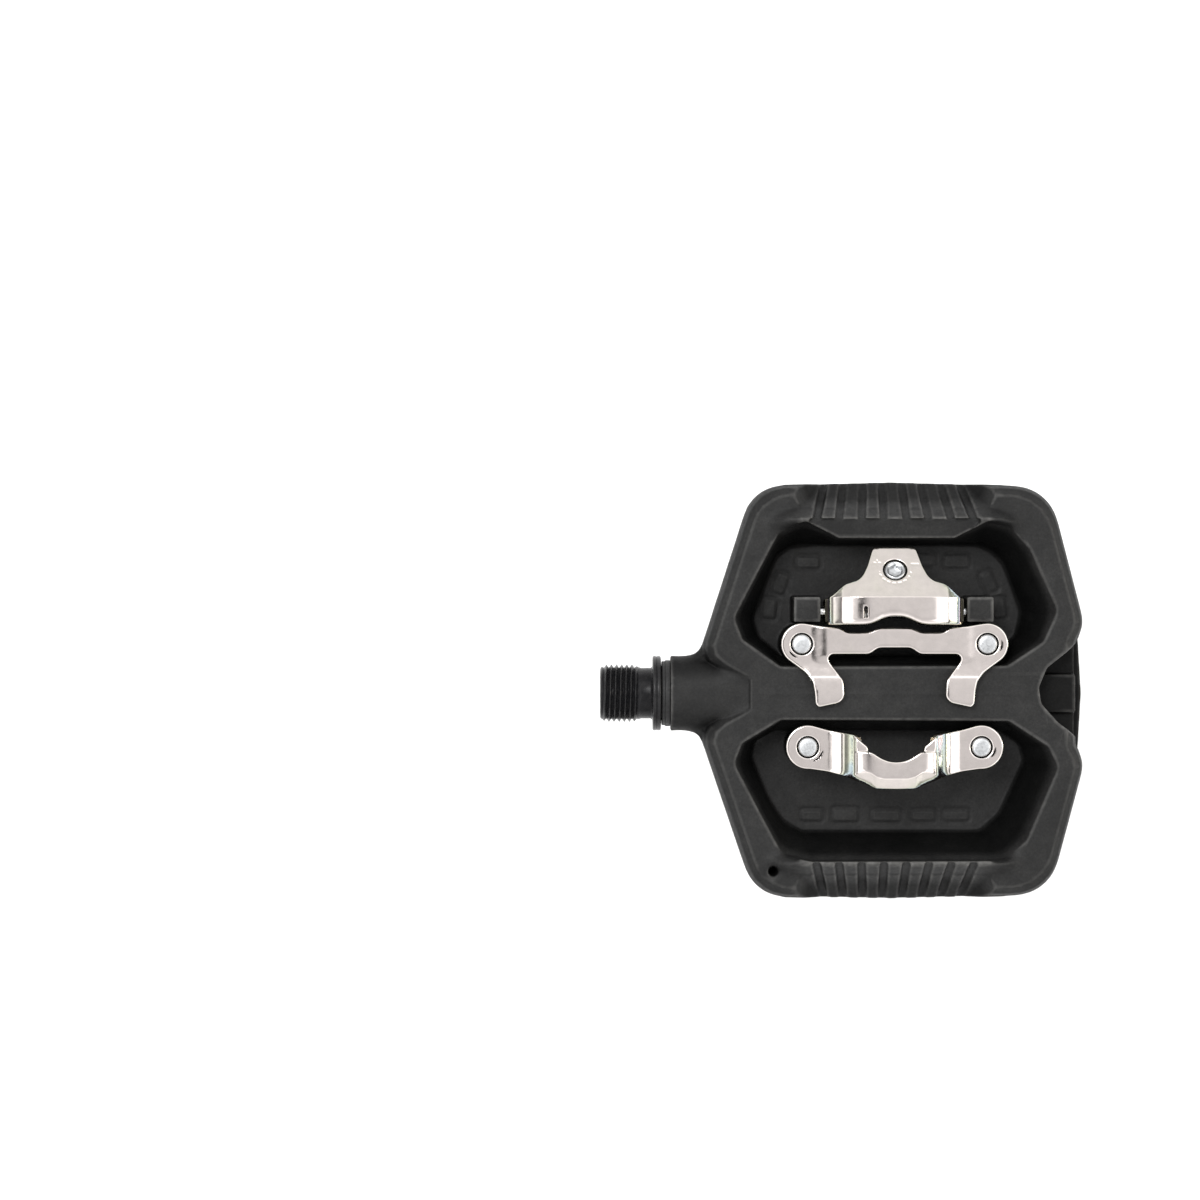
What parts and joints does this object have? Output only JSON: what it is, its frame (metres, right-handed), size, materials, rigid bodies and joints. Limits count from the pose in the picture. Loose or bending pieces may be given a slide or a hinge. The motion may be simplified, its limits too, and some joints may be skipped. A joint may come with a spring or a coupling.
{
  "type": "clipless bicycle pedal",
  "caption": "Single-sided clipless pedal: black composite platform with a sprung metal cleat binding on one face and a bar-patterned tread on the other, on a threaded steel spindle.",
  "frame": {"origin": "centre of the spindle shoulder's crank-side face, on the spindle axis", "axes": "+X outboard along the spindle, +Y to the rear of the pedal (the sprung claw's side), +Z out of the cleat face"},
  "size_m": [0.1196, 0.1032, 0.0279],
  "materials": {
    "body_composite": "fine-grained moulded black composite, matt",
    "tread_rubber": "dark charcoal moulded elastomer, matt",
    "plated_steel": "polished nickel-plated sheet steel with a faint warm tint",
    "zinc_hardware": "bright zinc-plated steel",
    "black_steel": "black-oxide turned steel, oiled and glossy",
    "bearing_steel": "ground bearing steel",
    "bush_bronze": "sintered bronze",
    "seal_rubber": "black rubber lip seal",
    "cage_brass": "pressed brass",
    "spring_steel": "dark hardened steel"
  },
  "bodies": {
    "spindle": {"spindle": "black_steel", "bearing_inner_race_1": "bearing_steel", "bearing_inner_race_2": "bearing_steel", "spindle_washer": "zinc_hardware", "spindle_lock_nut": "zinc_hardware"},
    "pedal": {"pedal_body": "body_composite", "tread_pad": "tread_rubber", "cleat_stop_plate": "plated_steel", "front_claw": "plated_steel", "plate_screw_rear_inboard": "zinc_hardware", "plate_screw_rear_outboard": "zinc_hardware", "plate_screw_front_inboard": "zinc_hardware", "plate_screw_front_outboard": "zinc_hardware", "claw_pivot_pin": "spring_steel", "torsion_spring_inboard": "spring_steel", "torsion_spring_outboard": "spring_steel", "cartridge_sleeve": "bearing_steel", "inboard_bush": "bush_bronze", "retaining_collar": "black_steel", "dust_seal": "seal_rubber", "bearing_outer_race_1": "bearing_steel", "bearing_outer_race_2": "bearing_steel", "bearing_spacer": "bearing_steel"},
    "rear_claw": {"rear_claw": "plated_steel"},
    "tension_screw": {"tension_screw": "zinc_hardware"},
    "tension_nut": {"tension_nut": "spring_steel"},
    "ball_set_1": {"ball_cage_1": "cage_brass", "ball_1_1": "bearing_steel", "ball_1_2": "bearing_steel", "ball_1_3": "bearing_steel", "ball_1_4": "bearing_steel", "ball_1_5": "bearing_steel", "ball_1_6": "bearing_steel", "ball_1_7": "bearing_steel"},
    "ball_set_2": {"ball_cage_2": "cage_brass", "ball_2_1": "bearing_steel", "ball_2_2": "bearing_steel", "ball_2_3": "bearing_steel", "ball_2_4": "bearing_steel", "ball_2_5": "bearing_steel", "ball_2_6": "bearing_steel", "ball_2_7": "bearing_steel"}
  },
  "joints": [
    {"name": "pedal_spin", "type": "hinge", "parent": "spindle", "child": "pedal", "pos_m": [0, 0, 0], "axis": [1, 0, 0], "continuous": true},
    {"name": "ball_set_1_spin", "type": "hinge", "parent": "spindle", "child": "ball_set_1", "pos_m": [0.0683, 0, 0], "axis": [1, 0, 0], "continuous": true},
    {"name": "ball_set_2_spin", "type": "hinge", "parent": "spindle", "child": "ball_set_2", "pos_m": [0.0737, 0, 0], "axis": [1, 0, 0], "continuous": true},
    {"name": "claw_release", "type": "hinge", "parent": "pedal", "child": "rear_claw", "pos_m": [0.0593, 0.02, 0.0043], "axis": [-1, 0, 0], "range_deg": [0, 18], "stiffness_Nm_per_rad": 2, "springref_deg": -20.05, "deforming": ["torsion_spring_inboard", "torsion_spring_outboard"]},
    {"name": "tension_screw_turn", "type": "hinge", "parent": "rear_claw", "child": "tension_screw", "pos_m": [0.0593, 0.0305, 0.01227], "axis": [0, 0.515, 0.8572], "range_deg": [-720, 720]},
    {"name": "tension_nut_slide", "type": "slide", "parent": "rear_claw", "child": "tension_nut", "axis": [0, 0.515, 0.8572], "range_m": [-0.0016, 0.0016]}
  ],
  "couplings": [
    {"joint": "ball_set_1_spin", "follows": "pedal_spin", "ratio": 0.59},
    {"joint": "ball_set_2_spin", "follows": "pedal_spin", "ratio": 0.59},
    {"joint": "tension_screw_turn", "follows": "tension_nut_slide", "rad_per_m": -7854}
  ]
}
